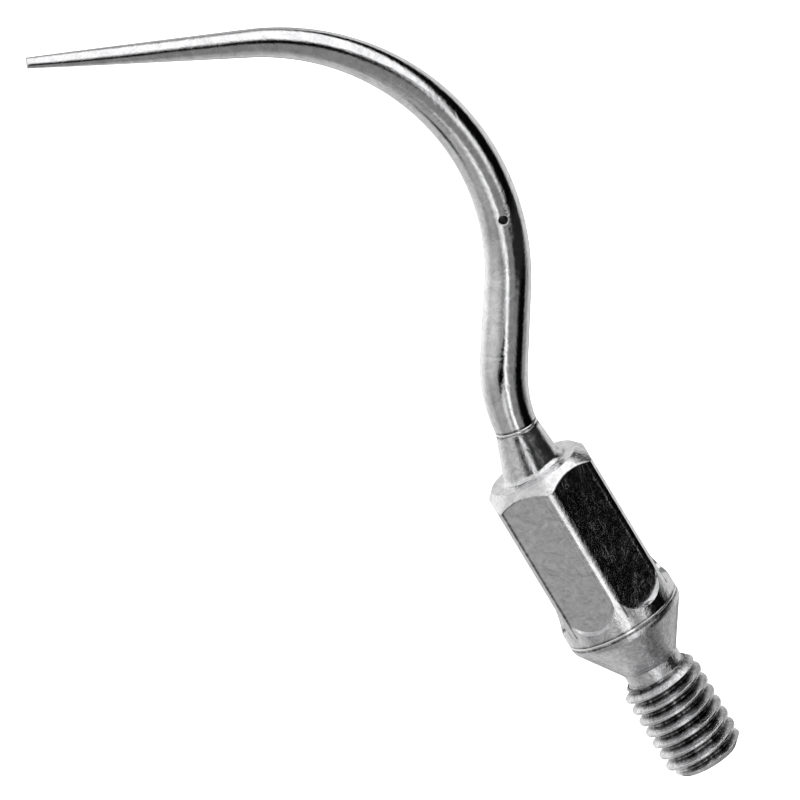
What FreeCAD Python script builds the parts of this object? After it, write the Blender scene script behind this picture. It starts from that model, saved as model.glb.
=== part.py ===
import FreeCAD, Part
import math
import os

import Sketcher
from FreeCAD import Placement, Rotation, Vector

# A screw-in scaler tip: a threaded shank, a hexagonal wrench body and a bent working end, brazed
# end to end and drilled for water. Z runs along the thread's axis towards the working end, the
# origin is the middle of the thread's free end face, and the working end bends in the XZ plane.

doc = FreeCAD.newDocument("scaler_tip")

driving = {
    # thread and the plain length above it
    "thread_major": 3.0,
    "thread_pitch": 0.5,
    "thread_length": 3.6,
    "thread_depth_share": 0.6134,
    "thread_root_share": 0.125,
    "thread_flank": 30,
    "start_bevel": 0.34,
    "runout_step": 0.1,
    "relief_depth": 0.09,
    "relief_length": 0.78,
    "inlet_dia": 1.0,
    # cone and joint with the wrench body
    "cone_angle": 33,
    "rim_round": 0.6,
    "rim_land": 0.03,
    "spigot_dia": 2.4,
    "spigot_length": 2.4,
    # wrench body
    "across_flats": 4.0,
    "flat_depth": 0.25,
    "cutter_overlap": 0.04,
    "collar_length": 0.46,
    "wrench_length": 6.08,
    "crown_length": 0.52,
    "crown_bevel": 0.475,
    "channel_dia": 0.6,
    # neck, which leans with the working end
    "neck_dia": 2.36,
    "neck_lean": 8.1,
    "neck_fillet": 0.25,
    "fillet_share": 0.45,
    "seam_distance": 1.7,
    "seam_dia": 1.62,
    # working end
    "plug_dia": 1.0,
    "plug_length": 1.4,
    "seam_run": 0.15,
    "heel_radius": 5.65,
    "heel_turn": 24.7,
    "shin_run": 2.78,
    "hook_radius": 9.09,
    "hook_turn": 95.8,
    "point_run": 8.17,
    "heel_dia": 1.78,
    "shin_dia": 1.74,
    "hook_dia": 1.54,
    "knee_dia": 1.06,
    "point_dia": 0.38,
    "water_dia": 0.5,
    "outlet_dia": 0.34,
    "outlet_turn": 17.3,
    # what every brazed joint shares
    "braze_gap": 0.03,
    "braze_depth": 0.06,
    # how far a cut runs on past the surface that it leaves through
    "cut_clear": 0.05,
}

sheet = doc.addObject("Spreadsheet::Sheet", "sizes")
for row, (alias, number) in enumerate(driving.items(), start=1):
    sheet.set(f"A{row}", alias)
    sheet.set(f"B{row}", str(number))
    sheet.setAlias(f"B{row}", alias)
doc.recompute()


class Size:
    # A length or angle with the sheet expression that gives it.
    def __init__(self, number, text):
        self.number = number
        self.text = text

    def __add__(self, other):
        other = size(other)
        return Size(self.number + other.number, f"({self.text} + {other.text})")

    def __sub__(self, other):
        other = size(other)
        return Size(self.number - other.number, f"({self.text} - {other.text})")

    def __mul__(self, other):
        other = size(other)
        return Size(self.number * other.number, f"({self.text} * {other.text})")

    def __truediv__(self, other):
        other = size(other)
        return Size(self.number / other.number, f"({self.text} / {other.text})")

    def __neg__(self):
        return Size(-self.number, f"(-1 * {self.text})")


def size(value):
    if isinstance(value, Size):
        return value
    if isinstance(value, str):
        return Size(float(sheet.get(value)), f"sizes.{value}")
    return Size(float(value), repr(float(value)))


def sine(angle):
    return Size(math.sin(math.radians(angle.number)), f"sin({angle.text} * 1 deg)")


def cosine(angle):
    return Size(math.cos(math.radians(angle.number)), f"cos({angle.text} * 1 deg)")


def tangent(angle):
    return Size(math.tan(math.radians(angle.number)), f"tan({angle.text} * 1 deg)")


def rootOf(value):
    return Size(math.sqrt(value.number), f"sqrt({value.text})")


def smaller(first, second):
    return Size(min(first.number, second.number), f"min({first.text}; {second.text})")


# ---- sketches and features -------------------------------------------------------------------

def newBody(label):
    body = doc.addObject("PartDesign::Body", label)
    body.Label = label
    return body


def originPart(body, role):
    return next(part for part in body.Origin.OriginFeatures if part.Role == role)


def newSketch(body, name, plane, offset=None, lean=None, leanAxis=None):
    # A sketch on one of the body's own planes, moved by an offset and then leaned about an axis.
    sketch = body.newObject("Sketcher::SketchObject", name)
    sketch.AttachmentSupport = [(originPart(body, plane), "")]
    sketch.MapMode = "FlatFace"
    if offset:
        turn = Rotation(leanAxis, lean.number) if lean else Rotation()
        place = Placement(Vector(*[value.number for value in offset]), turn)
        sketch.AttachmentOffset = place
        for letter, value in zip("xyz", offset):
            sketch.setExpression(f"AttachmentOffset.Base.{letter}", value.text)
        if lean:
            sketch.setExpression("AttachmentOffset.Rotation.Angle", f"{lean.text} * 1 deg")
    return sketch


def pin(sketch, kind, place, value):
    # One dimension of the sketch, driven by the sheet.
    index = sketch.addConstraint(Sketcher.Constraint(kind, *place, value.number))
    sketch.setExpression(f"Constraints[{index}]", value.text)


def pinPoint(sketch, edge, end, point):
    pin(sketch, "DistanceX", (-1, 1, edge, end), point[0])
    pin(sketch, "DistanceY", (-1, 1, edge, end), point[1])


def arcBetween(start, end, radius, clockwise):
    # The shorter arc of this radius from one point to the other.
    chord = end - start
    rise = math.sqrt(max(radius ** 2 - (chord.Length / 2) ** 2, 0))
    side = Vector(chord.y, -chord.x, 0).normalize() * (rise if clockwise else -rise)
    centre = start + chord * 0.5 + side
    circle = Part.Circle(centre, Vector(0, 0, 1), radius)
    first, last = (end, start) if clockwise else (start, end)
    angles = [math.atan2(p.y - centre.y, p.x - centre.x) for p in (first, last)]
    return Part.ArcOfCircle(circle, *angles)


def outline(sketch, points, arcs=None, closed=True):
    # Straight edges through the points in order. arcs maps an edge's number to its radius and
    # to whether it runs clockwise.
    arcs = arcs or {}
    points = [(size(x), size(y)) for x, y in points]
    spots = [Vector(x.number, y.number, 0) for x, y in points]
    count = len(points) if closed else len(points) - 1
    starts = {}
    for edge in range(count):
        here, there = spots[edge], spots[(edge + 1) % len(spots)]
        if edge in arcs:
            radius, clockwise = arcs[edge]
            sketch.addGeometry(arcBetween(here, there, radius.number, clockwise))
            starts[edge] = (2, 1) if clockwise else (1, 2)
        else:
            sketch.addGeometry(Part.LineSegment(here, there))
            starts[edge] = (1, 2)
    for edge in range(count):
        following = (edge + 1) % count
        if closed or following:
            joint = (edge, starts[edge][1], following, starts[following][0])
            sketch.addConstraint(Sketcher.Constraint("Coincident", *joint))
        pinPoint(sketch, edge, starts[edge][0], points[edge])
    if not closed:
        pinPoint(sketch, count - 1, starts[count - 1][1], points[count])
    for edge, (radius, clockwise) in arcs.items():
        pin(sketch, "Radius", (edge,), radius)


def circle(sketch, diameter, centre=(0, 0)):
    x, y = (size(value) for value in centre)
    sketch.addGeometry(Part.Circle(Vector(x.number, y.number, 0), Vector(0, 0, 1), diameter.number / 2))
    pinPoint(sketch, 0, 3, (x, y))
    pin(sketch, "Radius", (0,), diameter / 2)


def turned(body, kind, name, sketch):
    # A full turn of the sketch about its own upright axis.
    feature = body.newObject(f"PartDesign::{kind}", name)
    feature.Profile = sketch
    feature.ReferenceAxis = (sketch, ["V_Axis"])
    feature.Angle = 360
    doc.recompute()
    return feature


def pocket(body, name, sketch, reverse):
    feature = body.newObject("PartDesign::Pocket", name)
    feature.Profile = sketch
    feature.Type = "ThroughAll"
    feature.Reversed = reverse
    doc.recompute()
    return feature


# ---- derived sizes ---------------------------------------------------------------------------

# Every joint has the same gap for the filler to run into and the same bevel for its ring.
brazeGap = size("braze_gap")
brazeDepth = size("braze_depth")
cutClear = size("cut_clear")

# The thread's depth and its flat root are shares of its pitch, as the standard 60 degree form has
# them, and the plain length above it is below its root.
majorRadius = size("thread_major") / 2
pitch = size("thread_pitch")
threadDepth = pitch * "thread_depth_share"
reliefRadius = majorRadius - threadDepth - "relief_depth"
runoutRadius = reliefRadius + "runout_step"
inletRadius = size("inlet_dia") / 2
threadTop = size("thread_length")
coneStart = threadTop + "relief_length"

# The bar that the flats are milled on is as wide as the cone's rim.
flatRadius = size("across_flats") / 2
barRadius = flatRadius + "flat_depth"
coneAngle = size("cone_angle")
coneCorner = coneStart + (barRadius - reliefRadius) / tangent(coneAngle)
rimTangent = size("rim_round") * tangent(coneAngle / 2)
jointHeight = coneCorner + rimTangent + "rim_land" + brazeDepth
spigotRadius = size("spigot_dia") / 2
spigotTop = jointHeight + "spigot_length"
flatStart = jointHeight + "collar_length"
crownStart = jointHeight + "wrench_length"
crownTop = crownStart + "crown_length"
crownRadius = barRadius - "crown_bevel"

# The neck and the working end share a frame that starts on the crown and leans towards +X.
lean = size("neck_lean")
neckFrame = (size(0), crownTop, size(0))
neckRadius = size("neck_dia") / 2
neckFillet = smaller(size("neck_fillet"), (crownRadius - neckRadius) * "fillet_share")
seam = size("seam_distance")
seamRadius = size("seam_dia") / 2
plugRadius = size("plug_dia") / 2
plugBottom = seam - "plug_length"


# ---- threaded shank --------------------------------------------------------------------------

def threadedShank():
    body = newBody("threaded_shank")
    bevelTop = threadTop + majorRadius - runoutRadius
    blank = newSketch(body, "shank_outline", "XZ_Plane")
    outline(blank, [
        (inletRadius, 0),
        (majorRadius - "start_bevel", 0),
        (majorRadius, "start_bevel"),
        (majorRadius, threadTop),
        (runoutRadius, bevelTop),
        (reliefRadius, bevelTop),
        (reliefRadius, coneStart),
        (barRadius - rimTangent * sine(coneAngle), coneCorner - rimTangent * cosine(coneAngle)),
        (barRadius, coneCorner + rimTangent),
        (barRadius, jointHeight - brazeDepth),
        (barRadius - brazeDepth, jointHeight),
        (spigotRadius, jointHeight),
        (spigotRadius, spigotTop),
        (inletRadius, spigotTop),
    ], arcs={7: (size("rim_round"), False)})
    turned(body, "Revolution", "shank_blank", blank)

    # The groove's flanks open from a flat root. It starts one turn below the end face and runs
    # out over the step at the top.
    rootRadius = majorRadius - threadDepth
    mouthRadius = majorRadius + cutClear
    rootHalf = pitch * "thread_root_share" / 2
    mouthHalf = rootHalf + (mouthRadius - rootRadius) * tangent(size("thread_flank"))
    groove = newSketch(body, "thread_groove", "XZ_Plane")
    outline(groove, [
        (rootRadius, -pitch - rootHalf),
        (mouthRadius, -pitch - mouthHalf),
        (mouthRadius, mouthHalf - pitch),
        (rootRadius, rootHalf - pitch),
    ])
    thread = body.newObject("PartDesign::SubtractiveHelix", "thread")
    thread.Profile = groove
    thread.ReferenceAxis = (groove, ["V_Axis"])
    thread.Mode = "pitch-height-angle"
    travel = bevelTop + pitch + mouthHalf
    thread.Pitch = pitch.number
    thread.Height = travel.number
    thread.setExpression("Pitch", pitch.text)
    thread.setExpression("Height", travel.text)
    thread.LeftHanded = False
    doc.recompute()
    return body


# ---- hexagonal wrench body -------------------------------------------------------------------

def hexBody():
    body = newBody("hex_body")
    channelRadius = size("channel_dia") / 2
    socketRadius = spigotRadius + brazeGap
    socketTop = spigotTop + brazeGap
    blank = newSketch(body, "bar_outline", "XZ_Plane")
    outline(blank, [
        (socketRadius, jointHeight),
        (barRadius - brazeDepth, jointHeight),
        (barRadius, jointHeight + brazeDepth),
        (barRadius, crownStart),
        (crownRadius, crownTop),
        (0, crownTop),
        (0, socketTop),
        (socketRadius, socketTop),
    ])
    turned(body, "Revolution", "bar_blank", blank)

    # Six flats run up from a half-round end and out through the crown.
    cutter = rootOf(barRadius * barRadius - flatRadius * flatRadius) + "cutter_overlap"
    cutTop = crownTop + cutClear
    flat = newSketch(body, "flat_outline", "YZ_Plane", (size(0), size(0), flatRadius))
    outline(flat, [
        (-cutter, flatStart + cutter),
        (0, flatStart),
        (cutter, flatStart + cutter),
        (cutter, cutTop),
        (-cutter, cutTop),
    ], arcs={0: (cutter, False), 1: (cutter, False)})
    firstFlat = pocket(body, "first_flat", flat, True)
    flats = body.newObject("PartDesign::PolarPattern", "flats")
    flats.Originals = [firstFlat]
    flats.Axis = (originPart(body, "Z_Axis"), [""])
    flats.Angle = 360
    flats.Occurrences = 6
    body.Tip = flats
    doc.recompute()

    # The neck is a cone on the leaning axis, filleted where it leaves the crown.
    foot = -size("crown_length")
    neck = newSketch(body, "neck_outline", "XZ_Plane", neckFrame, -lean, Vector(0, 0, 1))
    slope = (neckRadius - seamRadius) / seam
    outline(neck, [
        (0, foot),
        (neckRadius - slope * foot, foot),
        (seamRadius, seam - brazeDepth),
        (seamRadius - brazeDepth, seam),
        (0, seam),
    ])
    cone = turned(body, "Revolution", "neck", neck)
    fillet = body.newObject("PartDesign::Fillet", "neck_root")
    fillet.Base = (cone, [neckFoot(cone.Shape)])
    fillet.Radius = neckFillet.number
    fillet.setExpression("Radius", neckFillet.text)
    doc.recompute()

    # Water channel along the axis, and the socket for the working end on the leaning axis.
    channel = newSketch(body, "channel_outline", "XZ_Plane")
    outline(channel, [
        (0, spigotTop),
        (channelRadius, spigotTop),
        (channelRadius, crownTop),
        (0, crownTop),
    ])
    turned(body, "Groove", "channel", channel)
    socket = newSketch(body, "socket_outline", "XZ_Plane", neckFrame, -lean, Vector(0, 0, 1))
    outline(socket, [
        (0, -brazeGap),
        (plugRadius + brazeGap, -brazeGap),
        (plugRadius + brazeGap, seam + cutClear),
        (0, seam + cutClear),
    ])
    turned(body, "Groove", "tip_socket", socket)
    return body


def neckFoot(shape):
    # The closed edge where the neck leaves the crown's flat top.
    level = crownTop.number
    rings = {}
    for number, edge in enumerate(shape.Edges, start=1):
        box = edge.BoundBox
        if max(abs(box.ZMin - level), abs(box.ZMax - level)) < 1e-4:
            rings[f"Edge{number}"] = edge.Length
    return min(rings, key=rings.get)


# ---- working end -----------------------------------------------------------------------------

def routeStations():
    # Points of the working end's middle line in the leaning frame, with the angle by which the
    # line has turned there: seam, heel's start and end, hook's start, middle and end, point.
    heel = size("heel_turn")
    hook = size("hook_turn")
    heelRadius = size("heel_radius")
    hookRadius = size("hook_radius")
    zero = size(0)

    def along(start, angle, distance):
        return (start[0] + distance * sine(angle), start[1] + distance * cosine(angle))

    def heelPoint(start, turn):
        return (start[0] + heelRadius * (size(1) - cosine(turn)), start[1] + heelRadius * sine(turn))

    def hookPoint(start, turn):
        after = heel - turn
        x = start[0] - hookRadius * (cosine(heel) - cosine(after))
        y = start[1] + hookRadius * (sine(heel) - sine(after))
        return (x, y)

    seamPoint = (zero, seam)
    heelStart = (zero, seam + "seam_run")
    heelEnd = heelPoint(heelStart, heel)
    hookStart = along(heelEnd, heel, size("shin_run"))
    hookMiddle = hookPoint(hookStart, hook / 2)
    hookEnd = hookPoint(hookStart, hook)
    pointMiddle = along(hookEnd, heel - hook, size("point_run") / 2)
    point = along(hookEnd, heel - hook, size("point_run"))
    outlet = hookPoint(hookStart, size("outlet_turn"))
    return {
        "seam": (seamPoint, zero),
        "heel_start": (heelStart, zero),
        "heel_end": (heelEnd, heel),
        "hook_start": (hookStart, heel),
        "outlet": (outlet, heel - "outlet_turn"),
        "hook_middle": (hookMiddle, heel - hook / 2),
        "hook_end": (hookEnd, heel - hook),
        "point_middle": (pointMiddle, heel - hook),
        "point": (point, heel - hook),
    }


def leaningPoint(spot):
    # A point of the leaning frame in the part's own frame.
    x = spot[0] * cosine(lean) + spot[1] * sine(lean)
    z = crownTop + spot[1] * cosine(lean) - spot[0] * sine(lean)
    return (x, size(0), z)


def workingTip():
    body = newBody("working_tip")
    stations = routeStations()
    heelArc = (size("heel_radius"), True)
    hookArc = (size("hook_radius"), False)

    def section(name, station, diameter):
        spot, turn = stations[station]
        sketch = newSketch(body, name, "XY_Plane", leaningPoint(spot), lean + turn, Vector(0, 1, 0))
        circle(sketch, diameter)
        return sketch

    route = newSketch(body, "route", "XZ_Plane", neckFrame, -lean, Vector(0, 0, 1))
    names = ["seam", "heel_start", "heel_end", "hook_start", "hook_middle", "hook_end", "point_middle", "point"]
    outline(route, [stations[name][0] for name in names],
            arcs={1: heelArc, 3: hookArc, 4: hookArc}, closed=False)
    first = section("seam_section", "seam", size("seam_dia"))
    sections = [
        section("heel_section", "heel_end", size("heel_dia")),
        section("shin_section", "hook_start", size("shin_dia")),
        section("hook_section", "hook_middle", size("hook_dia")),
        section("knee_section", "hook_end", size("knee_dia")),
        section("middle_section", "point_middle", (size("knee_dia") + "point_dia") / 2),
        section("point_section", "point", size("point_dia")),
    ]
    doc.recompute()
    rod = body.newObject("PartDesign::AdditivePipe", "rod")
    rod.Profile = first
    rod.Spine = (route, [])
    rod.Transformation = "Multisection"
    rod.Sections = [(sketch, [""]) for sketch in sections]
    doc.recompute()

    # The plug that stands in the neck's socket, with the bevel that the filler lies in.
    plug = newSketch(body, "plug_outline", "XZ_Plane", neckFrame, -lean, Vector(0, 0, 1))
    outline(plug, [
        (0, plugBottom),
        (plugRadius, plugBottom),
        (plugRadius, seam + brazeDepth),
        (0, seam + brazeDepth),
    ])
    turned(body, "Revolution", "plug", plug)
    bevel = newSketch(body, "bevel_outline", "XZ_Plane", neckFrame, -lean, Vector(0, 0, 1))
    outline(bevel, [
        (seamRadius - brazeDepth, seam),
        (seamRadius + cutClear, seam),
        (seamRadius + cutClear, seam + brazeDepth + cutClear),
    ])
    turned(body, "Groove", "seam_bevel", bevel)

    # The water channel follows the middle line from the plug to a side outlet in the hook.
    bore = newSketch(body, "channel_route", "XZ_Plane", neckFrame, -lean, Vector(0, 0, 1))
    plugEnd = (size(0), plugBottom)
    stops = [plugEnd] + [stations[name][0] for name in ["heel_start", "heel_end", "hook_start", "outlet"]]
    outline(bore, stops, arcs={1: heelArc, 3: hookArc}, closed=False)
    mouth = newSketch(body, "channel_section", "XY_Plane", leaningPoint(plugEnd), lean, Vector(0, 1, 0))
    circle(mouth, size("water_dia"))
    doc.recompute()
    channel = body.newObject("PartDesign::SubtractivePipe", "water_channel")
    channel.Profile = mouth
    channel.Spine = (bore, [])
    doc.recompute()
    outlet = newSketch(body, "outlet_outline", "XZ_Plane", neckFrame, -lean, Vector(0, 0, 1))
    circle(outlet, size("outlet_dia"), stations["outlet"][0])
    pocket(body, "outlet", outlet, True)
    return body


def brazeRing(label, radius, offset, turn, middle):
    # A ring of filler in the bevels on both sides of a joint.
    body = newBody(label)
    ring = newSketch(body, f"{label}_outline", "XZ_Plane", offset, turn, Vector(0, 0, 1))
    outline(ring, [
        (radius - brazeDepth, middle),
        (radius, middle - brazeDepth),
        (radius, middle + brazeDepth),
    ])
    turned(body, "Revolution", f"{label}_turned", ring)
    return body


pieces = [
    threadedShank(),
    hexBody(),
    workingTip(),
    brazeRing("shank_braze_ring", barRadius, None, None, jointHeight),
    brazeRing("tip_braze_ring", seamRadius, neckFrame, -lean, seam),
]

failed = [item.Name for item in doc.Objects if {"Invalid", "Error"} & set(item.State)]
if failed:
    raise RuntimeError(f"failed features: {failed}")
for piece in pieces:
    if piece.Shape.isNull() or not piece.Shape.isValid() or len(piece.Shape.Solids) != 1:
        raise RuntimeError(f"bad shape: {piece.Label}")

os.makedirs("parts", exist_ok=True)
for piece in pieces:
    piece.Shape.exportStep(f"parts/{piece.Label}.step")
    print(piece.Label, f"{piece.Shape.Volume:.3f} mm3")
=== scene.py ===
import math

import bmesh
import bpy
import numpy as np
from mathutils import Matrix, Vector


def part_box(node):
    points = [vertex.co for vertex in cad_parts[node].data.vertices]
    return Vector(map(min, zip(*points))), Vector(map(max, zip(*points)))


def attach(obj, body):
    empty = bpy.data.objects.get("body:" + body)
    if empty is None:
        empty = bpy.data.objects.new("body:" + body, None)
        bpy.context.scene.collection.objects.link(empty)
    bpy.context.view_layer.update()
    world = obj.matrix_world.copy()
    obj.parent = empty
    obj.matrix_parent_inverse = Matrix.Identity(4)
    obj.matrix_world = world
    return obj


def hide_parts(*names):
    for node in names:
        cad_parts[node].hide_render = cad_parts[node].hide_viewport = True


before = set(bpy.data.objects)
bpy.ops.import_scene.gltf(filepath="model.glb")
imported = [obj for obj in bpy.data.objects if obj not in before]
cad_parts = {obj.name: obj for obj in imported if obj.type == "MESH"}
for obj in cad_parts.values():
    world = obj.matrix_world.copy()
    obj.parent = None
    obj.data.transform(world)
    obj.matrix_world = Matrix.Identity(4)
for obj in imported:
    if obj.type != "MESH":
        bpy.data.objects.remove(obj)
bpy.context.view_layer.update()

scene = bpy.context.scene
mm = 0.001

# A screw-in scaler tip. Lengths below are in millimetres unless a note says otherwise.


# What the CAD parts say about where things are.
def nodeBox(node):
    low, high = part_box(node)
    return np.array(low) / mm, np.array(high) / mm


shankLow, shankHigh = nodeBox("threaded_shank")
lowRingLow, lowRingHigh = nodeBox("shank_braze_ring")
topRingLow, topRingHigh = nodeBox("tip_braze_ring")
shankFoot = shankLow[2]
spigotTop = shankHigh[2]
jointHeight = (lowRingLow[2] + lowRingHigh[2]) / 2
visualInset = 0.003  # keeps the round bar just inside the CAD's own
barRadius = lowRingHigh[0] - visualInset
seamCentre = (topRingLow + topRingHigh) / 2


def roundedLine(points, radius, steps=5):
    # The same line with a small arc in place of every inner corner.
    points = [np.array(p, float) for p in points]
    line = [points[0]]
    for before, here, after in zip(points, points[1:], points[2:]):
        back, ahead = before - here, after - here
        lengths = np.linalg.norm(back), np.linalg.norm(ahead)
        back, ahead = back / lengths[0], ahead / lengths[1]
        half = math.acos(float(np.clip(back @ ahead, -1, 1))) / 2
        if half > math.radians(88):
            line.append(here)
            continue
        reach = min(radius / math.tan(half), 0.45 * min(lengths))
        start, end = here + back * reach, here + ahead * reach
        for share in np.linspace(0, 1, steps + 1):
            line.append((1 - share) ** 2 * start + 2 * share * (1 - share) * here + share ** 2 * end)
    line.append(points[-1])
    return np.array(line)


def finer(line, step):
    # The same line with no stretch longer than the step.
    parts = []
    for here, there in zip(line, line[1:]):
        count = max(int(math.ceil(np.linalg.norm(there - here) / step)), 1)
        parts.append(here + (there - here) * np.linspace(0, 1, count, endpoint=False)[:, None])
    return np.vstack(parts + [line[-1:]])


def softLess(first, second, width):
    # The smaller of two numbers, with the corner between them eased.
    share = np.clip(0.5 + 0.5 * (second - first) / width, 0, 1)
    return second + (first - second) * share - width * share * (1 - share) / 2


def easeStep(low, high, value):
    share = np.clip((value - low) / (high - low), 0, 1)
    return share * share * (3 - 2 * share)


def gridFaces(rows, columns, shift=0):
    # Faces of a grid whose last column joins its first, shifted up by some rows on a helix.
    i = np.repeat(np.arange(rows - 1 - shift), columns)
    j = np.tile(np.arange(columns), rows - 1 - shift)
    wrap = j == columns - 1
    right = np.where(wrap, (i + shift) * columns, i * columns + j + 1)
    here = i * columns + j
    return np.stack([here, right, right + columns, here + columns], 1)


def gridUv(rows, columns, along, shift=0):
    # Corner coordinates: once around, and millimetres along.
    i = np.repeat(np.arange(rows - 1 - shift), columns)
    j = np.tile(np.arange(columns), rows - 1 - shift)
    left, right = j / columns, (j + 1) / columns
    low, high = along[i], along[i + 1]
    corners = [(left, low), (right, low), (right, high), (left, high)]
    return np.stack([np.stack(c, 1) for c in corners], 1)


def turnedSurface(line, columns):
    # The line of (radius, height) turned about the upright axis.
    angle = np.arange(columns) * 2 * math.pi / columns
    radius, height = line[:, 0:1], line[:, 1:2]
    points = np.stack([radius * np.cos(angle), radius * np.sin(angle), height + 0 * angle], 2)
    along = np.concatenate([[0], np.cumsum(np.linalg.norm(np.diff(line, axis=0), axis=1))])
    return points, along


def buildPiece(name, surfaces, material, sharpAngle=35, paintedShadeAt=None):
    # One object from several grids, each given as (points, along, shift). The last argument tells how
    # much painted shade a point gets, from 0 to 1.
    vertices, faces, uvs, offset = [], [], [], 0
    for points, along, shift in surfaces:
        rows, columns = points.shape[:2]
        vertices.append(points.reshape(-1, 3))
        faces.append(gridFaces(rows, columns, shift) + offset)
        uvs.append(gridUv(rows, columns, along, shift))
        offset += rows * columns
    mesh = bpy.data.meshes.new(name)
    mesh.from_pydata((np.vstack(vertices) * mm).tolist(), [], np.vstack(faces).tolist())
    layer = mesh.uv_layers.new(name="lay")
    layer.data.foreach_set("uv", np.vstack(uvs).reshape(-1).astype(np.float32))
    # How much painted shade each point gets, standing for shade in grooves, joints and along flat edges.
    painted_shade = mesh.attributes.new("painted_shade", "FLOAT", "POINT")
    if paintedShadeAt:
        painted_shade.data.foreach_set("value", paintedShadeAt(np.vstack(vertices)).astype(np.float32))
    tidyMesh(mesh, sharpAngle)
    piece = bpy.data.objects.new(name, mesh)
    scene.collection.objects.link(piece)
    mesh.materials.append(material)
    return piece


def tidyMesh(mesh, sharpAngle):
    # Joins the grids, turns every face outwards and keeps real edges crisp.
    work = bmesh.new()
    work.from_mesh(mesh)
    bmesh.ops.remove_doubles(work, verts=work.verts, dist=2e-7)
    bmesh.ops.dissolve_degenerate(work, edges=work.edges, dist=1e-8)
    bmesh.ops.recalc_face_normals(work, faces=work.faces)
    limit = math.radians(sharpAngle)
    for face in work.faces:
        face.smooth = True
    for edge in work.edges:
        if len(edge.link_faces) == 2:
            edge.smooth = edge.calc_face_angle(0) < limit
    work.to_mesh(mesh)
    work.free()


def addNode(tree, kind, place=(0, 0), **values):
    node = tree.nodes.new(kind)
    node.location = place
    for key, value in values.items():
        setattr(node, key, value)
    return node


def newGroup(name, inputs, outputs):
    group = bpy.data.node_groups.new(name, "ShaderNodeTree")
    for socket, kind, value in inputs:
        made = group.interface.new_socket(socket, in_out="INPUT", socket_type=kind)
        if value is not None:
            made.default_value = value
    for socket, kind in outputs:
        group.interface.new_socket(socket, in_out="OUTPUT", socket_type=kind)
    return group, group.nodes.new("NodeGroupInput"), group.nodes.new("NodeGroupOutput")


def makeMottle():
    # Cloudy unevenness left by hand polishing: broad waves, smaller pits and their shade.
    group, start, end = newGroup(
        "mottle",
        [("Vector", "NodeSocketVector", None), ("Size", "NodeSocketFloat", 3000.0),
         ("Twist", "NodeSocketFloat", 0.6), ("Grain", "NodeSocketFloat", 0.35)],
        [("Height", "NodeSocketFloat"), ("Shade", "NodeSocketFloat")],
    )
    link = group.links.new
    broad = addNode(group, "ShaderNodeTexNoise")
    broad.inputs["Detail"].default_value = 5
    broad.inputs["Roughness"].default_value = 0.62
    # The small pits are a good four times finer than the waves.
    fineScale = addNode(group, "ShaderNodeMath", operation="MULTIPLY")
    fineScale.inputs[1].default_value = 4.3
    fine = addNode(group, "ShaderNodeTexNoise")
    fine.inputs["Detail"].default_value = 4
    fine.inputs["Roughness"].default_value = 0.7
    link(start.outputs["Vector"], broad.inputs["Vector"])
    link(start.outputs["Vector"], fine.inputs["Vector"])
    link(start.outputs["Size"], broad.inputs["Scale"])
    link(start.outputs["Twist"], broad.inputs["Distortion"])
    link(start.outputs["Size"], fineScale.inputs[0])
    link(fineScale.outputs[0], fine.inputs["Scale"])
    blendNode = addNode(group, "ShaderNodeMix", data_type="FLOAT")
    link(start.outputs["Grain"], blendNode.inputs["Factor"])
    link(broad.outputs["Fac"], blendNode.inputs["A"])
    link(fine.outputs["Fac"], blendNode.inputs["B"])
    spread = addNode(group, "ShaderNodeMapRange")
    spread.inputs["From Min"].default_value = 0.35
    spread.inputs["From Max"].default_value = 0.65
    link(blendNode.outputs["Result"], spread.inputs["Value"])
    link(blendNode.outputs["Result"], end.inputs["Height"])
    link(spread.outputs["Result"], end.inputs["Shade"])
    return group


def makeToolLines():
    # Fine lines left by a tool or a buff, running once around or along the piece.
    group, start, end = newGroup(
        "tool_lines",
        [("Vector", "NodeSocketVector", None), ("Stretch", "NodeSocketVector", (1.0, 1.0, 1.0)),
         ("Size", "NodeSocketFloat", 20.0)],
        [("Height", "NodeSocketFloat"), ("Shade", "NodeSocketFloat")],
    )
    link = group.links.new
    stretched = addNode(group, "ShaderNodeVectorMath", operation="MULTIPLY")
    lines = addNode(group, "ShaderNodeTexNoise")
    lines.inputs["Detail"].default_value = 6
    lines.inputs["Roughness"].default_value = 0.75
    link(start.outputs["Vector"], stretched.inputs[0])
    link(start.outputs["Stretch"], stretched.inputs[1])
    link(stretched.outputs["Vector"], lines.inputs["Vector"])
    link(start.outputs["Size"], lines.inputs["Scale"])
    spread = addNode(group, "ShaderNodeMapRange")
    spread.inputs["From Min"].default_value = 0.3
    spread.inputs["From Max"].default_value = 0.7
    link(lines.outputs["Fac"], spread.inputs["Value"])
    link(lines.outputs["Fac"], end.inputs["Height"])
    link(spread.outputs["Result"], end.inputs["Shade"])
    return group


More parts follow.
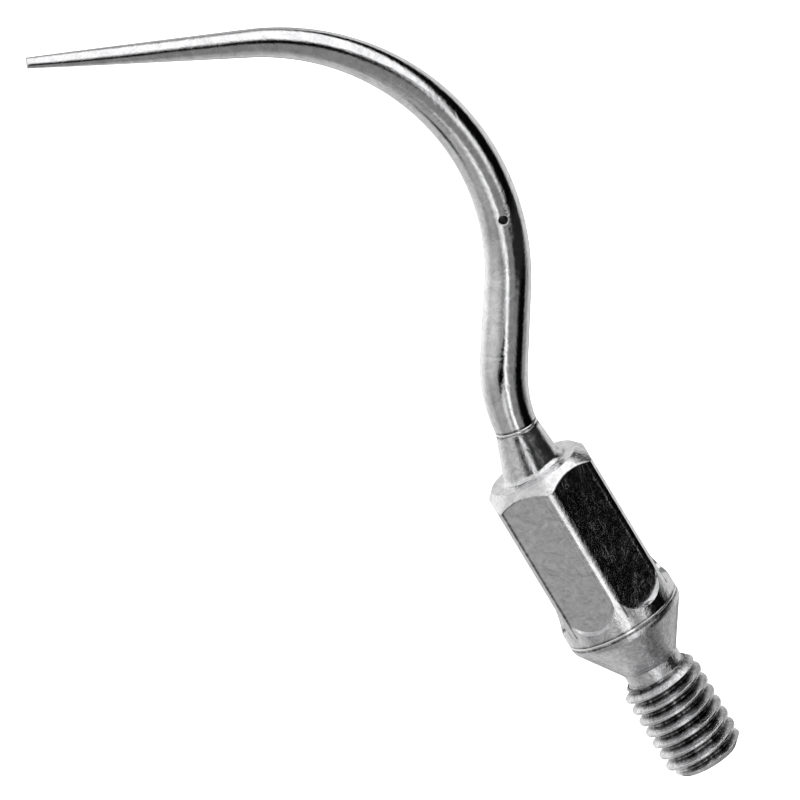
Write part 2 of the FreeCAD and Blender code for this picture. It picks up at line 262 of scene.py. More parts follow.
def makeMetalSurface():
    # What all the bare metal shares: clouded tone, painted shade in the grooves and joints, gloss and relief.
    group, start, end = newGroup(
        "metal_surface",
        [("Cloud Vector", "NodeSocketVector", None), ("Line Vector", "NodeSocketVector", None),
         ("Cloud Size", "NodeSocketFloat", 2000.0), ("Cloud Twist", "NodeSocketFloat", 1.0),
         ("Cloud Grain", "NodeSocketFloat", 0.35), ("Cloud Depth", "NodeSocketFloat", 0.00002),
         ("Line Stretch", "NodeSocketVector", (1.0, 1.0, 1.0)), ("Line Size", "NodeSocketFloat", 900.0),
         ("Line Depth", "NodeSocketFloat", 0.000002), ("Dark Tone", "NodeSocketColor", None),
         ("Light Tone", "NodeSocketColor", None), ("Painted Shade", "NodeSocketFloat", 0.0),
         ("Least Roughness", "NodeSocketFloat", 0.05), ("Most Roughness", "NodeSocketFloat", 0.2)],
        [("Base Color", "NodeSocketColor"), ("Roughness", "NodeSocketFloat"), ("Normal", "NodeSocketVector")],
    )
    link = group.links.new
    clouds = addNode(group, "ShaderNodeGroup", node_tree=mottle)
    lines = addNode(group, "ShaderNodeGroup", node_tree=toolLines)
    for node, own, given in (
        (clouds, "Vector", "Cloud Vector"), (clouds, "Size", "Cloud Size"), (clouds, "Twist", "Cloud Twist"),
        (clouds, "Grain", "Cloud Grain"), (lines, "Vector", "Line Vector"),
        (lines, "Stretch", "Line Stretch"), (lines, "Size", "Line Size"),
    ):
        link(start.outputs[given], node.inputs[own])
    tone = addNode(group, "ShaderNodeMix", data_type="RGBA")
    link(clouds.outputs["Shade"], tone.inputs["Factor"])
    link(start.outputs["Dark Tone"], tone.inputs["A"])
    link(start.outputs["Light Tone"], tone.inputs["B"])
    # The painted shade lies unevenly: thinner where the clouds are light.
    uneven = addNode(group, "ShaderNodeMapRange")
    uneven.inputs["To Min"].default_value = 1.35
    uneven.inputs["To Max"].default_value = 0.45
    link(clouds.outputs["Shade"], uneven.inputs["Value"])
    shadeAmount = addNode(group, "ShaderNodeMath", operation="MULTIPLY", use_clamp=True)
    link(start.outputs["Painted Shade"], shadeAmount.inputs[0])
    link(uneven.outputs["Result"], shadeAmount.inputs[1])
    shadedTone = addNode(group, "ShaderNodeMix", data_type="RGBA")
    # The near-black colour of the painted shade.
    shadedTone.inputs["B"].default_value = (0.03, 0.029, 0.028, 1)
    link(shadeAmount.outputs[0], shadedTone.inputs["Factor"])
    link(tone.outputs["Result"], shadedTone.inputs["A"])
    link(shadedTone.outputs["Result"], end.inputs["Base Color"])
    gloss = addNode(group, "ShaderNodeMapRange")
    link(lines.outputs["Shade"], gloss.inputs["Value"])
    link(start.outputs["Least Roughness"], gloss.inputs["To Min"])
    link(start.outputs["Most Roughness"], gloss.inputs["To Max"])
    link(gloss.outputs["Result"], end.inputs["Roughness"])
    waves = addNode(group, "ShaderNodeBump")
    link(start.outputs["Cloud Depth"], waves.inputs["Distance"])
    link(clouds.outputs["Height"], waves.inputs["Height"])
    scored = addNode(group, "ShaderNodeBump")
    link(start.outputs["Line Depth"], scored.inputs["Distance"])
    link(lines.outputs["Height"], scored.inputs["Height"])
    link(waves.outputs["Normal"], scored.inputs["Normal"])
    link(scored.outputs["Normal"], end.inputs["Normal"])
    return group


mottle = makeMottle()
toolLines = makeToolLines()
metalSurface = makeMetalSurface()


def metalFinish(name, look):
    # Bare metal whose gloss, tone and relief vary a little over the surface.
    material = bpy.data.materials.new(name)
    material.use_nodes = True
    tree = material.node_tree
    tree.nodes.clear()
    link = tree.links.new
    output = addNode(tree, "ShaderNodeOutputMaterial", (500, 0))
    shader = addNode(tree, "ShaderNodeBsdfPrincipled", (200, 0))
    shader.inputs["Metallic"].default_value = 1.0
    link(shader.outputs["BSDF"], output.inputs["Surface"])
    place = addNode(tree, "ShaderNodeTexCoord", (-500, 100))
    # The painted shade given to each point.
    paintedShadeNode = addNode(tree, "ShaderNodeAttribute", (-500, -200), attribute_name="painted_shade")
    surface = addNode(tree, "ShaderNodeGroup", (-150, 0), node_tree=metalSurface)
    for socket, value in (
        ("Cloud Size", look["mottleSize"]), ("Cloud Twist", look["mottleTwist"]),
        ("Cloud Grain", look["mottleGrain"]), ("Cloud Depth", look["mottleDepth"] * mm),
        ("Line Stretch", look["lineStretch"]), ("Line Size", look["lineSize"]),
        ("Line Depth", look["lineDepth"] * mm), ("Dark Tone", (*look["darkTone"], 1)),
        ("Light Tone", (*look["lightTone"], 1)), ("Least Roughness", look["roughness"][0]),
        ("Most Roughness", look["roughness"][1]),
    ):
        surface.inputs[socket].default_value = value
    link(place.outputs["Object"], surface.inputs["Cloud Vector"])
    link(place.outputs[look["lineSpace"]], surface.inputs["Line Vector"])
    link(paintedShadeNode.outputs["Fac"], surface.inputs["Painted Shade"])
    for socket in ("Base Color", "Roughness", "Normal"):
        link(surface.outputs[socket], shader.inputs[socket])
    return material


turnedLook = {
    "darkTone": (0.50, 0.50, 0.51), "lightTone": (0.96, 0.96, 0.97), "roughness": (0.03, 0.10),
    "mottleSize": 1700.0, "mottleTwist": 0.8, "mottleGrain": 0.5, "mottleDepth": 0.045,
    "lineSpace": "Object", "lineStretch": (0.2, 0.2, 12.0), "lineSize": 900.0, "lineDepth": 0.003,
}
milledLook = {
    "darkTone": (0.62, 0.62, 0.63), "lightTone": (0.95, 0.95, 0.96), "roughness": (0.08, 0.2),
    "mottleSize": 1500.0, "mottleTwist": 2.6, "mottleGrain": 0.35, "mottleDepth": 0.020,
    "lineSpace": "Object", "lineStretch": (1.0, 1.0, 1.0), "lineSize": 3600.0, "lineDepth": 0.0045,
}
polishedLook = {
    "darkTone": (0.66, 0.66, 0.67), "lightTone": (0.95, 0.95, 0.96), "roughness": (0.04, 0.10),
    "mottleSize": 1700.0, "mottleTwist": 1.2, "mottleGrain": 0.3, "mottleDepth": 0.015,
    "lineSpace": "UV", "lineStretch": (40.0, 0.6, 1.0), "lineSize": 2.0, "lineDepth": 0.002,
}
brazeLook = {
    "darkTone": (0.90, 0.90, 0.89), "lightTone": (0.99, 0.99, 0.98), "roughness": (0.15, 0.3),
    "mottleSize": 4000.0, "mottleTwist": 0.3, "mottleGrain": 0.2, "mottleDepth": 0.003,
    "lineSpace": "Object", "lineStretch": (1.0, 1.0, 1.0), "lineSize": 5000.0, "lineDepth": 0.0005,
}
turnedSteel = metalFinish("turned_steel", turnedLook)
milledSteel = metalFinish("milled_steel", milledLook)
polishedSteel = metalFinish("polished_steel", polishedLook)
silverBraze = metalFinish("silver_braze", brazeLook)
print("finishes made")


shank = {
    "major": 3.0,
    "pitch": 0.5,
    "threadLength": 3.6,
    "depthShare": 0.6134,
    "rootShare": 0.125,
    "flankAngle": 30.0,
    "crestRound": 0.025,
    "formStep": 0.022,
    "startBevel": 0.34,
    "runoutStep": 0.1,
    "reliefDepth": 0.09,
    "reliefLength": 0.78,
    "inletDia": 1.0,
    "inletBevel": 0.08,
    "coneAngle": 33.0,
    "rimRound": 0.6,
    "jointBevel": 0.06,
    "spigotDia": 2.4,
    "edge": 0.02,
    "paintedRootShade": 0.95,
    "paintedSeamShade": 0.8,
    "columns": 240,
}


def paintedSeamShade(height, middle, width=0.02, reach=0.13):
    # Painted shade where the two bevels of a joint meet the filler, standing for the shadow in that V groove.
    return easeStep(-reach, -reach + width, -np.abs(height - middle))


def makeShank(s):
    major = s["major"] / 2
    depth = s["pitch"] * s["depthShare"]
    root = major - depth
    relief = root - s["reliefDepth"]
    runout = relief + s["runoutStep"]
    top = shankFoot + s["threadLength"] + major - runout
    rootHalf = s["pitch"] * s["rootShare"] / 2
    crestStart = rootHalf + depth * math.tan(math.radians(s["flankAngle"]))
    form = [(0, root), (rootHalf, root), (crestStart, major), (s["pitch"] - crestStart, major),
            (s["pitch"] - rootHalf, root), (s["pitch"], root)]
    form = finer(roundedLine(form, s["crestRound"]), s["formStep"])[:-1]
    perTurn, turns = len(form), int(math.ceil(top / s["pitch"])) + 2
    columns = s["columns"]
    height = np.concatenate([form[:, 0] + s["pitch"] * (turn - 1) for turn in range(turns)])
    radius = np.tile(form[:, 1], turns)
    angle = np.arange(columns) * 2 * math.pi / columns
    z = height[:, None] + s["pitch"] * np.arange(columns) / columns
    r = radius[:, None] + 0 * angle
    low, high = z - shankFoot, top - z
    r = softLess(r, major - s["startBevel"] + low, 0.02)
    r = softLess(r, runout + high, 0.02)
    r = np.clip(r, major - s["startBevel"], None)
    r = np.where(high <= 0, np.minimum(r, runout), r)
    z = np.clip(z, shankFoot, top)
    thread = np.stack([r * np.cos(angle), r * np.sin(angle), z], 2)

    tilt = math.radians(s["coneAngle"])
    coneStart = shankFoot + s["threadLength"] + s["reliefLength"]
    coneEnd = coneStart + (barRadius - relief) / math.tan(tilt)
    bevel, edge = s["jointBevel"], s["edge"]
    inlet, spigot = s["inletDia"] / 2, s["spigotDia"] / 2
    mouth = s["inletBevel"]
    foot = [(major - s["startBevel"], shankFoot), (inlet + mouth, shankFoot), (inlet, shankFoot + mouth),
            (inlet, spigotTop)]
    # The cone meets the rim in a wide arc.
    rim = roundedLine([(relief, coneStart), (barRadius, coneEnd), (barRadius, jointHeight - bevel)],
                      s["rimRound"], 14)[1:-1]
    upper = [(runout, top), (relief, top), (relief, coneStart)]
    upper = np.vstack([roundedLine(upper + [rim[0]], edge)[:-1], rim])
    joint = [(barRadius, jointHeight - bevel - 0.01), (barRadius, jointHeight - bevel),
             (barRadius - bevel, jointHeight), (spigot, jointHeight), (spigot, spigotTop),
             (inlet, spigotTop)]
    line = finer(np.vstack([upper, roundedLine(joint, edge / 2)]), 0.05)
    surfaces = [(thread, height, perTurn)]
    for profile in (finer(roundedLine(foot, edge), 0.1), line):
        surfaces.append((*turnedSurface(profile, columns), 0))

    def paintedShadeAt(points):
        out, z = np.hypot(points[:, 0], points[:, 1]), points[:, 2]
        inThread = easeStep(top + 0.02, top - 0.02, z) * easeStep(shankFoot + 0.2, shankFoot + 0.4, z)
        # Painted shade in the thread roots and in the joint's groove.
        grooveShade = easeStep(major - 0.1, root + 0.04, out) * inThread * s["paintedRootShade"]
        return np.maximum(grooveShade, s["paintedSeamShade"] * paintedSeamShade(z, jointHeight))

    return buildPiece("threadedShank", surfaces, turnedSteel, 40, paintedShadeAt)


threadedShank = makeShank(shank)
print("threaded shank made")


body = {
    "acrossFlats": 4.0,
    "cutterOverlap": 0.04,
    "collarLength": 0.46,
    "wrenchLength": 6.08,
    "crownLength": 0.52,
    "crownBevel": 0.475,
    "jointBevel": 0.06,
    "neckDia": 2.36,
    "neckLean": 8.1,
    "neckFillet": 0.25,
    "seamDistance": 1.7,
    "seamDia": 1.62,
    "wall": 0.025,
    "cornerEase": 0.09,
    "crownEase": 0.03,
    "paintedSeamShade": 0.85,
    "paintedEdgeShade": 0.7,
    "columns": 720,
}
lean = math.radians(body["neckLean"])
leanAxis = np.array([math.sin(lean), 0, math.cos(lean)])
leanSide = np.array([math.cos(lean), 0, -math.sin(lean)])
crownCentre = seamCentre - leanAxis * body["seamDistance"]
crownTop = crownCentre[2]


def leaning(x, y, v):
    # Points of the frame that stands on the crown and leans with the working end.
    x, y, v = np.broadcast_arrays(x, y, v)
    sideways = np.array([0, 1, 0])
    return crownCentre + x[..., None] * leanSide + y[..., None] * sideways + v[..., None] * leanAxis


def makeBody(b):
    flat = b["acrossFlats"] / 2
    flatStart = jointHeight + b["collarLength"]
    crownStart = jointHeight + b["wrenchLength"]
    cutter = math.sqrt(barRadius ** 2 - flat ** 2) + b["cutterOverlap"]
    crownRadius = barRadius - b["crownBevel"]
    angle = np.arange(b["columns"]) * 2 * math.pi / b["columns"]

    heights = np.concatenate([
        np.linspace(jointHeight + b["jointBevel"] + 0.02, flatStart - 0.05, 8, endpoint=False),
        np.linspace(flatStart - 0.05, flatStart + cutter + 0.1, 110, endpoint=False),
        np.linspace(flatStart + cutter + 0.1, crownStart - 0.1, 40, endpoint=False),
        np.linspace(crownStart - 0.1, crownTop - 0.02, 70),
    ])
    z, a = np.meshgrid(heights, angle, indexing="ij")
    near = (a + math.pi / 6) % (math.pi / 3) - math.pi / 6
    slope = b["crownBevel"] / b["crownLength"]
    bar = softLess(barRadius + 0 * z, barRadius - (z - crownStart) * slope, b["crownEase"])
    flatFace = flat / np.cos(near)
    across = flat * np.tan(near)
    drop = np.minimum(z - (flatStart + cutter), 0)
    outside = np.hypot(across, drop) - cutter
    milled = softLess(flatFace, bar, b["cornerEase"])
    r = milled + (bar - milled) * easeStep(-b["wall"], 0, outside)
    side = np.stack([r * np.cos(a), r * np.sin(a), z], 2)

    # Below: the joint's bevel and the hidden face inside it.
    lower = finer(roundedLine([
        (barRadius - 0.5, jointHeight), (barRadius - b["jointBevel"], jointHeight),
        (barRadius, jointHeight + b["jointBevel"]), (barRadius, heights[0]),
    ], 0.01), 0.1)
    lowerPoints, _ = turnedSurface(lower, b["columns"])

    # Above: the crown's flat top, the cove round the neck, and the leaning cone up to the seam.
    topRing = side[-1]
    radial = topRing[:, :2] / np.linalg.norm(topRing[:, :2], axis=1)[:, None]
    topRadius = np.linalg.norm(topRing[:, :2], axis=1)
    rings = []
    for inset, below in ((0.003, 0.012), (0.010, 0.004), (0.022, 0.0)):
        level = np.full(b["columns"], crownTop - below)
        rings.append(np.column_stack([radial * (topRadius - inset)[:, None], level]))
    neck, seam = b["neckDia"] / 2, b["seamDia"] / 2
    taper = (neck - seam) / b["seamDistance"]
    rise = np.cos(angle) * math.tan(lean)
    riseLength, taperLength = np.sqrt(1 + rise ** 2), math.sqrt(1 + taper ** 2)
    cove = b["neckFillet"]
    centreOut = (neck + cove * taperLength - taper * cove * riseLength) / (1 + taper * rise)
    centreUp = rise * centreOut + cove * riseLength
    startTurn = np.arctan2(1 / riseLength, -rise / riseLength)
    endTurn = math.atan2(taper, 1.0)
    coveRings = []
    for share in np.linspace(0, 1, 15):
        turn = startTurn + (endTurn - startTurn) * share
        out, up = centreOut - cove * np.cos(turn), centreUp - cove * np.sin(turn)
        coveRings.append(leaning(out * np.cos(angle), out * np.sin(angle), up))
    for share in np.linspace(0.15, 0.85, 6):
        rings.append(rings[2] * (1 - share) + coveRings[0] * share)
    rings += coveRings
    startUp = centreUp - cove * math.sin(endTurn)
    bevel = b["jointBevel"]
    for share in np.linspace(0.05, 1, 24):
        up = startUp + (b["seamDistance"] - bevel - startUp) * share
        out = neck - taper * up
        rings.append(leaning(out * np.cos(angle), out * np.sin(angle), up))
    for out, up in ((seam - 0.02, b["seamDistance"] - bevel * 0.6), (seam - bevel, b["seamDistance"]),
                    (seam - 0.28, b["seamDistance"])):
        rings.append(leaning(out * np.cos(angle), out * np.sin(angle), up + 0 * angle))

    points = np.concatenate([lowerPoints, side, np.stack(rings)])
    middle = points.mean(axis=1)
    along = np.concatenate([[0], np.cumsum(np.linalg.norm(np.diff(middle, axis=0), axis=1))])

    def paintedShadeAt(points):
        up = (points - crownCentre) @ leanAxis
        # Painted shade in the grooves at both joints.
        low = paintedSeamShade(points[:, 2], jointHeight)
        seamShade = b["paintedSeamShade"] * np.maximum(low, paintedSeamShade(up, b["seamDistance"]) * (up > 0.5))
        # A thin line of painted shade just inside the edges of every flat, strong on one side and faint on
        # the other.
        turn = (np.arctan2(points[:, 1], points[:, 0]) + math.pi / 6) % (math.pi / 3) - math.pi / 6
        barHere = np.minimum(barRadius, barRadius - (points[:, 2] - crownStart) * slope)
        step = barHere - flat / np.cos(turn)
        onFlat = (points[:, 2] > flatStart + 0.05) & (points[:, 2] < crownTop - 0.05)
        paintedEdgeLine = easeStep(0.028, 0.014, np.abs(step - 0.016)) * onFlat * np.where(turn < 0, 1.0, 0.3)
        return np.maximum(seamShade, b["paintedEdgeShade"] * paintedEdgeLine)

    return buildPiece("hexBody", [(points, along, 0)], milledSteel, 50, paintedShadeAt)


hexBody = makeBody(body)
print("wrench body made")


tip = {
    "seamRun": 0.15,
    "heelRadius": 5.65,
    "heelTurn": 24.7,
    "shinRun": 2.78,
    "hookRadius": 9.09,
    "hookTurn": 95.8,
    "pointRun": 8.17,
    "heelDia": 1.78,
    "shinDia": 1.74,
    "hookDia": 1.54,
    "kneeDia": 1.06,
    "pointDia": 0.38,
    "outletDia": 0.31,
    "outletTurn": 17.3,
    "outletFlare": 0.07,
    "outletFloor": 0.05,
    "cutterOverrun": 0.5,
    "pointEdge": 0.04,
    "inside": 0.007,
    "flattening": 0.28,
    "flatTurn": 45.0,
    "paintedSeamShade": 0.8,
    "rings": 560,
    "columns": 144,
}


def makeRoute(t):
    # The middle line of the working end: distance along it, heading, and place in the leaning frame.
    heel, hook = math.radians(t["heelTurn"]), math.radians(t["hookTurn"])
    lengths = [t["seamRun"], t["heelRadius"] * heel, t["shinRun"], t["hookRadius"] * hook, t["pointRun"]]
    marks = np.concatenate([[0], np.cumsum(lengths)])
    headings = [0, 0, heel, heel, heel - hook, heel - hook]
    along = np.linspace(0, marks[-1], 6001)
    heading = np.interp(along, marks, headings)
    step = np.diff(along)
    middle = (heading[1:] + heading[:-1]) / 2
    x = np.concatenate([[0], np.cumsum(np.sin(middle) * step)])
    v = body["seamDistance"] + np.concatenate([[0], np.cumsum(np.cos(middle) * step)])
    return marks, along, heading, x, v


def smoothThrough(marks, values, along):
    # A curve through the values with no overshoot.
    marks, values = np.array(marks), np.array(values)
    secants = np.diff(values) / np.diff(marks)
    slopes = np.concatenate([[secants[0]], (secants[1:] + secants[:-1]) / 2, [secants[-1]]])
    for k, (left, right) in enumerate(zip(secants[:-1], secants[1:]), start=1):
        slopes[k] = 0 if left * right <= 0 else 2 * left * right / (left + right)
    k = np.clip(np.searchsorted(marks, along) - 1, 0, len(marks) - 2)
    gap = (marks[1:] - marks[:-1])[k]
    s = (along - marks[k]) / gap
    return ((2 * s ** 3 - 3 * s ** 2 + 1) * values[k] + (s ** 3 - 2 * s ** 2 + s) * gap * slopes[k]
            + (3 * s ** 2 - 2 * s ** 3) * values[k + 1] + (s ** 3 - s ** 2) * gap * slopes[k + 1])


def makeTip(t):
    marks, allAlong, allHeading, allX, allV = makeRoute(t)
    bevel, edge = body["jointBevel"], t["pointEdge"]
    seam = body["seamDia"] / 2
    total = marks[-1]
    stations = [0, marks[2], marks[3], (marks[3] + marks[4]) / 2, marks[4], (marks[4] + marks[5]) / 2, total]
    dias = [body["seamDia"], t["heelDia"], t["shinDia"], t["hookDia"], t["kneeDia"],
            (t["kneeDia"] + t["pointDia"]) / 2, t["pointDia"]]
    along = np.linspace(bevel, total - edge, t["rings"])
    radius = smoothThrough(stations, dias, along) / 2 - t["inside"]
    point = t["pointDia"] / 2
    startAlong = [0, 0, 0.02]
    startRadius = [seam - 0.3, seam - bevel, seam - bevel * 0.6]
    turn = np.linspace(0.15, 1, 6) * math.pi / 2
    endAlong = list(total - edge + edge * np.sin(turn)) + [total, total]
    endRadius = list(point - edge + edge * np.cos(turn)) + [point * 0.5, 0.002]
    along = np.concatenate([startAlong, along, endAlong])
    radius = np.concatenate([startRadius, radius, endRadius])
    heading = np.interp(along, allAlong, allHeading)[:, None]
    x, v = np.interp(along, allAlong, allX)[:, None], np.interp(along, allAlong, allV)[:, None]
    angle = np.arange(t["columns"]) * 2 * math.pi / t["columns"]
    # Towards the point the round section is pressed a little flat on the slant.
    press = t["flattening"] * easeStep(marks[4], total, along)[:, None]
    slant = math.radians(t["flatTurn"])
    near = angle - slant
    longer, shorter = radius[:, None] * (1 + 0.8 * press), radius[:, None] * (1 - press)
    first, second = longer * np.cos(near), shorter * np.sin(near)
    out = first * math.cos(slant) - second * math.sin(slant)
    aside = first * math.sin(slant) + second * math.cos(slant)
    points = leaning(x + out * np.cos(heading), aside, v - out * np.sin(heading))

    def paintedShadeAt(points):
        # Painted shade in the groove at the seam.
        return t["paintedSeamShade"] * paintedSeamShade((points - crownCentre) @ leanAxis, body["seamDistance"])

    piece = buildPiece("workingTip", [(points, along, 0)], polishedSteel, 50, paintedShadeAt)
    boreOutlet(piece, t, marks, allAlong, allX, allV)
    return piece


def boreOutlet(piece, t, marks, allAlong, allX, allV):
    # The water outlet is cut into the side of the hook with a lightly flared mouth.
    place = marks[3] + t["hookRadius"] * math.radians(t["outletTurn"])
    x, v = np.interp(place, allAlong, allX), np.interp(place, allAlong, allV)
    centre = leaning(np.array(x), np.array(0.0), np.array(v))
    bore, flare = t["outletDia"] / 2, t["outletFlare"]
    wall = t["shinDia"] / 2
    floor, overrun, axisGap = t["outletFloor"], t["cutterOverrun"], 0.001
    line = roundedLine([
        (axisGap, floor), (bore, floor), (bore, wall - flare - 0.03), (bore + flare, wall),
        (bore + 0.4, wall + overrun), (axisGap, wall + overrun),
    ], 0.01, 3)
    points, along = turnedSurface(line, 40)
    turnedOut = np.stack([points[..., 0], -points[..., 2], points[..., 1]], 2) + centre
    cutter = buildPiece("outletCutter", [(turnedOut, along, 0)], polishedSteel)
    cut = piece.modifiers.new("outlet", "BOOLEAN")
    cut.operation, cut.solver, cut.object = "DIFFERENCE", "EXACT", cutter
    bpy.context.view_layer.update()
    made = bpy.data.meshes.new_from_object(piece.evaluated_get(bpy.context.evaluated_depsgraph_get()))
    piece.modifiers.clear()
    piece.data = made
    bpy.data.objects.remove(cutter)


workingTip = makeTip(tip)
print("working end made")


braze = {
    "halfWidth": 0.058,
    "bulge": 0.03,
    "depth": 0.1,
    "columns": 240,
}


def makeRing(name, b, radius, place):
    # A small bead lying in the groove between two bevels.
    share = np.linspace(-1, 1, 15)
    bead = np.column_stack([radius - b["bulge"] * share ** 2, b["halfWidth"] * share])
    inner = radius - b["depth"]
    line = np.vstack([[(inner, -b["halfWidth"])], bead, [(inner, b["halfWidth"]), (inner, -b["halfWidth"])]])
    points, along = turnedSurface(line, b["columns"])
    return buildPiece(name, [(place(points), along, 0)], silverBraze, 60)


lowRing = makeRing("shankBrazeRing", braze, barRadius, lambda p: p + np.array([0, 0, jointHeight]))
topRing = makeRing("tipBrazeRing", braze, body["seamDia"] / 2,
                   lambda p: leaning(p[..., 0], p[..., 1], p[..., 2] + body["seamDistance"]))
print("rings of filler made")

for piece, node, slotName in (
    (threadedShank, "threaded_shank", "turned_steel"),
    (hexBody, "hex_body", "milled_steel"),
    (workingTip, "working_tip", "polished_steel"),
    (lowRing, "shank_braze_ring", "braze"),
    (topRing, "tip_braze_ring", "braze"),
):
    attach(piece, "root")
    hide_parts(node)


studio = {
    "floorDrop": 60.0,
    "floorSize": 4000.0,
    "cameraDistance": 1200.0,
    "cameraTilt": 17.0,
    "cameraRoll": 31.15,
    "frameWidth": 29.21,
    "target": (-2.891, 0.017, 17.866),
}


def makeFloor(s):
    half = s["floorSize"] / 2 * mm
    mesh = bpy.data.meshes.new("floor")
    level = (shankFoot - s["floorDrop"]) * mm
    corners = [(-half, -half, level), (half, -half, level), (half, half, level), (-half, half, level)]
    mesh.from_pydata(corners, [], [(0, 1, 2, 3)])
    floor = bpy.data.objects.new("floor", mesh)
    scene.collection.objects.link(floor)
    material = bpy.data.materials.new("floor_white")
    material.use_nodes = True
    shader = material.node_tree.nodes["Principled BSDF"]
    shader.inputs["Base Color"].default_value = (0.9, 0.9, 0.9, 1)
    shader.inputs["Roughness"].default_value = 0.9
    shader.inputs["Emission Color"].default_value = (1, 1, 1, 1)
    shader.inputs["Emission Strength"].default_value = 1.0
    mesh.materials.append(material)
    floor.visible_glossy = False
    floor.visible_diffuse = False


# Cards near the pieces, seen only in their shine: direction from the middle of what they face, its
# place, how far off they stand, how large they are and how bright.
cards = [
    {"from": (0.3, -0.6, 13.9), "at": (62, -1), "distance": 14.0, "size": (21.0, 5.4), "light": 0.02},
    {"from": (0.1, -0.8, 13.9), "at": (-23, 12), "distance": 11.0, "size": (6.0, 3.2), "light": 0.0},
    {"from": (0.0, -1.8, 11.0), "at": (-3, -17), "distance": 8.0, "size": (2.3, 26.0), "light": 1.3},
]


def makeCards():
    for number, card in enumerate(cards, start=1):
        out = Vector(toward(*card["at"]))
        side = out.cross(Vector((0, 0, 1))).normalized() * card["size"][0] / 2
        rise = side.cross(out).normalized() * card["size"][1] / 2
        middle = Vector(card["from"]) + out * card["distance"]
        corners = [middle - side - rise, middle + side - rise, middle + side + rise, middle - side + rise]
        mesh = bpy.data.meshes.new(f"card{number}")
        mesh.from_pydata([tuple(corner * mm) for corner in corners], [], [(0, 1, 2, 3)])
        piece = bpy.data.objects.new(f"card{number}", mesh)
        scene.collection.objects.link(piece)
        material = bpy.data.materials.new(f"card_{number}")
        material.use_nodes = True
        shader = material.node_tree.nodes["Principled BSDF"]
        shader.inputs["Base Color"].default_value = (0, 0, 0, 1)
        shader.inputs["Specular IOR Level"].default_value = 0.0
        shader.inputs["Emission Color"].default_value = (1, 1, 1, 1)
        shader.inputs["Emission Strength"].default_value = card["light"]
        mesh.materials.append(material)
        piece.visible_camera = False
        piece.visible_shadow = False
        piece.visible_diffuse = False


def toward(azimuth, elevation):
    # A direction: azimuth 0 is the front, and it grows towards +X.
    a, e = math.radians(azimuth), math.radians(elevation)
    return (math.sin(a) * math.cos(e), -math.cos(a) * math.cos(e), math.sin(e))


# Each patch of the surrounding light: azimuth, elevation, radius and softness in degrees, brightness,
# and for some a second patch that it is kept inside.
patches = [
    {"at": (0, -90), "radius": 38, "soft": 12, "light": 0.42},
    {"at": (-140, -20), "radius": 50, "soft": 15, "light": 0.62},
    {"at": (-85, -42), "radius": 14, "soft": 6, "light": 0.55},
    {"at": (180, 40), "radius": 60, "soft": 15, "light": 1.05},
    {"at": (-60, 60), "radius": 50, "soft": 15, "light": 0.75},
    {"at": (150, -5), "radius": 45, "soft": 12, "light": 0.70},
    {"at": (178, -38), "radius": 16, "soft": 6, "light": 0.01},
    {"at": (70, -77), "radius": 15, "soft": 6, "light": 0.08},
    {"at": (-60, -17), "radius": 20, "soft": 8, "light": 0.40},
    {"at": (3, 30.7), "radius": 108, "soft": 1.5, "light": 0.002, "inside": (125, 0, 90, 5)},
    {"at": (3.3, 55.7), "radius": 70, "soft": 2, "light": 1.2, "inside": (100, 30, 62, 4)},
    {"at": (161, 17), "radius": 9, "soft": 4, "light": 0.36},
    {"at": (143, 38), "radius": 9, "soft": 4, "light": 0.28},
    {"at": (142, 60), "radius": 9, "soft": 5, "light": 0.03},
    {"at": (-76, -25), "radius": 7, "soft": 4, "light": 0.02},
    {"at": (-28, -10), "radius": 8, "soft": 5, "light": 0.85},
    {"at": (34, -10), "radius": 10, "soft": 5, "light": 1.0},
    {"at": (22, 2), "radius": 9, "soft": 5, "light": 0.06},
    {"at": (15, 12), "radius": 13, "soft": 3, "light": 0.002},
]
darkGround = 0.24


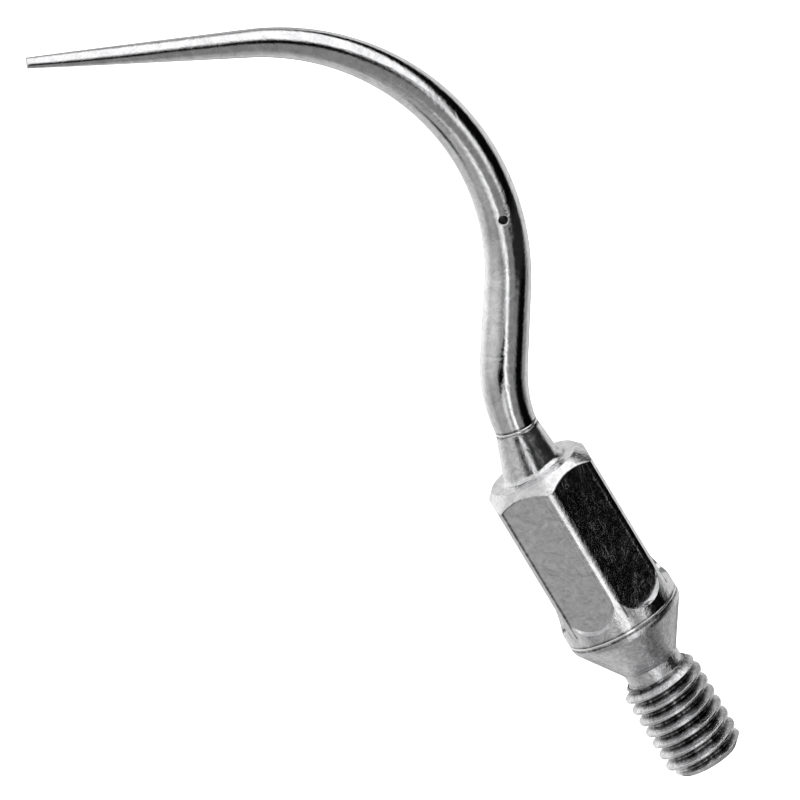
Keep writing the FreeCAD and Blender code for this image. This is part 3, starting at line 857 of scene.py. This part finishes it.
def makeWorld():
    world = bpy.data.worlds.new("studio_light")
    scene.world = world
    world.use_nodes = True
    tree = world.node_tree
    tree.nodes.clear()
    link = tree.links.new
    place = addNode(tree, "ShaderNodeTexCoord")

    def patchMask(azimuth, elevation, radius, soft):
        dot = addNode(tree, "ShaderNodeVectorMath", operation="DOT_PRODUCT")
        dot.inputs[1].default_value = toward(azimuth, elevation)
        link(place.outputs["Generated"], dot.inputs[0])
        edge = addNode(tree, "ShaderNodeMapRange", interpolation_type="SMOOTHSTEP")
        edge.inputs["From Min"].default_value = math.cos(math.radians(min(radius + soft, 180)))
        edge.inputs["From Max"].default_value = math.cos(math.radians(max(radius - soft, 0)))
        link(dot.outputs["Value"], edge.inputs["Value"])
        return edge.outputs["Result"]

    lastLight = None
    for patch in patches:
        mask = patchMask(*patch["at"], patch["radius"], patch["soft"])
        if "inside" in patch:
            both = addNode(tree, "ShaderNodeMath", operation="MULTIPLY")
            link(mask, both.inputs[0])
            link(patchMask(*patch["inside"]), both.inputs[1])
            mask = both.outputs[0]
        layer = addNode(tree, "ShaderNodeMix", data_type="FLOAT")
        link(mask, layer.inputs["Factor"])
        if lastLight is None:
            layer.inputs["A"].default_value = darkGround
        else:
            link(lastLight, layer.inputs["A"])
        layer.inputs["B"].default_value = patch["light"]
        lastLight = layer.outputs["Result"]

    rays = addNode(tree, "ShaderNodeLightPath")
    seen = addNode(tree, "ShaderNodeMix", data_type="FLOAT")
    link(rays.outputs["Is Camera Ray"], seen.inputs["Factor"])
    link(lastLight, seen.inputs["A"])
    seen.inputs["B"].default_value = 1.0
    light = addNode(tree, "ShaderNodeBackground")
    output = addNode(tree, "ShaderNodeOutputWorld")
    link(seen.outputs["Result"], light.inputs["Strength"])
    link(light.outputs["Background"], output.inputs["Surface"])
    light.inputs["Color"].default_value = (1, 1, 1, 1)


def makeCamera(s):
    tilt, roll = math.radians(s["cameraTilt"]), math.radians(s["cameraRoll"])
    back = Vector((0, -math.cos(tilt), math.sin(tilt)))
    plainUp = Vector((0, math.sin(tilt), math.cos(tilt)))
    plainRight = Vector((1, 0, 0))
    right = plainRight * math.cos(roll) - plainUp * math.sin(roll)
    up = plainRight * math.sin(roll) + plainUp * math.cos(roll)
    target = Vector(s["target"]) * mm
    place = target + back * s["cameraDistance"] * mm
    data = bpy.data.cameras.new("camera")
    camera = bpy.data.objects.new("camera", data)
    scene.collection.objects.link(camera)
    camera.matrix_world = Matrix((
        (right.x, up.x, back.x, place.x),
        (right.y, up.y, back.y, place.y),
        (right.z, up.z, back.z, place.z),
        (0, 0, 0, 1),
    ))
    data.sensor_width = 36.0
    data.lens = data.sensor_width * s["cameraDistance"] / s["frameWidth"]
    data.clip_start, data.clip_end = 0.05, 20.0
    scene.camera = camera


makeFloor(studio)
makeCards()
makeWorld()
makeCamera(studio)
scene.view_settings.view_transform = "Standard"
print("floor, light and camera made")
